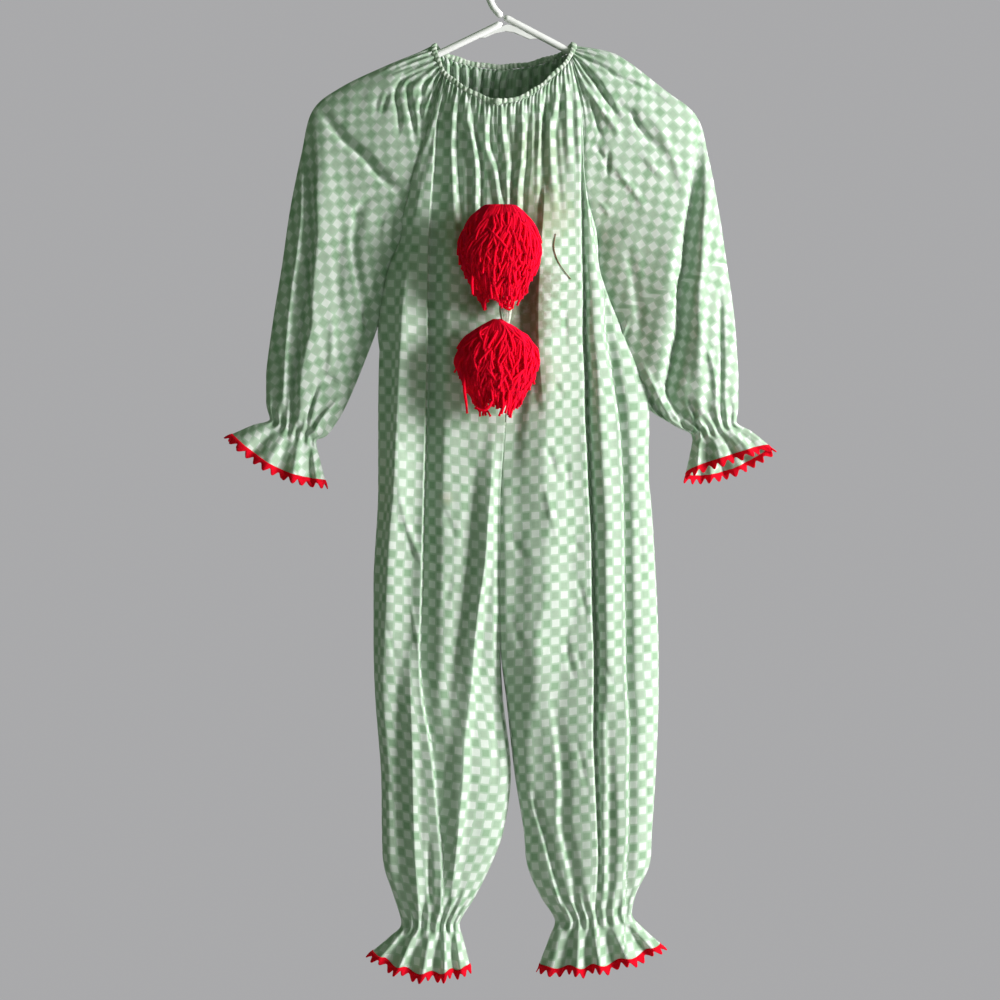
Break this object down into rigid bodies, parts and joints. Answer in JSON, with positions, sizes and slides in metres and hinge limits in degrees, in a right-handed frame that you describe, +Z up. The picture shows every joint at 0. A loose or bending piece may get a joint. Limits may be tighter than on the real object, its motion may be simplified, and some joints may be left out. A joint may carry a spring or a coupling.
{
  "type": "clown jumpsuit on hanger",
  "caption": "Gathered one-piece clown jumpsuit with check cotton, yarn pompoms, frilled cuffs and wavy trim, hanging flat on a tubular plastic hanger.",
  "frame": {"origin": "inner top of the hanger's hook, where a rail or peg bears", "axes": "+Z up, the garment's front faces -Y, +X to the right of somebody facing its front"},
  "size_m": [0.5991, 0.1048, 1.1267],
  "materials": {
    "checked_cotton": "woven green and white check, matt",
    "casing_cotton": "gathered woven casing, matt",
    "red_yarn": "loose wool-like yarn",
    "red_rickrack": "woven wavy braid",
    "white_plastic": "moulded, satin gloss"
  },
  "bodies": {
    "root": {"front_left": "checked_cotton", "front_right": "checked_cotton", "back_left": "checked_cotton", "back_right": "checked_cotton", "sleeve_left": "checked_cotton", "sleeve_right": "checked_cotton", "neck_casing": "casing_cotton", "neck_button": "casing_cotton", "pompom_upper": "red_yarn", "pompom_lower": "red_yarn", "trim_ankle_left": "red_rickrack", "trim_ankle_right": "red_rickrack", "trim_wrist_left": "red_rickrack", "trim_wrist_right": "red_rickrack", "hanger_arm_left": "white_plastic", "hanger_arm_right": "white_plastic", "hanger_bar": "white_plastic", "hanger_hook": "white_plastic", "hanger_web": "white_plastic"}
  },
  "joints": []
}
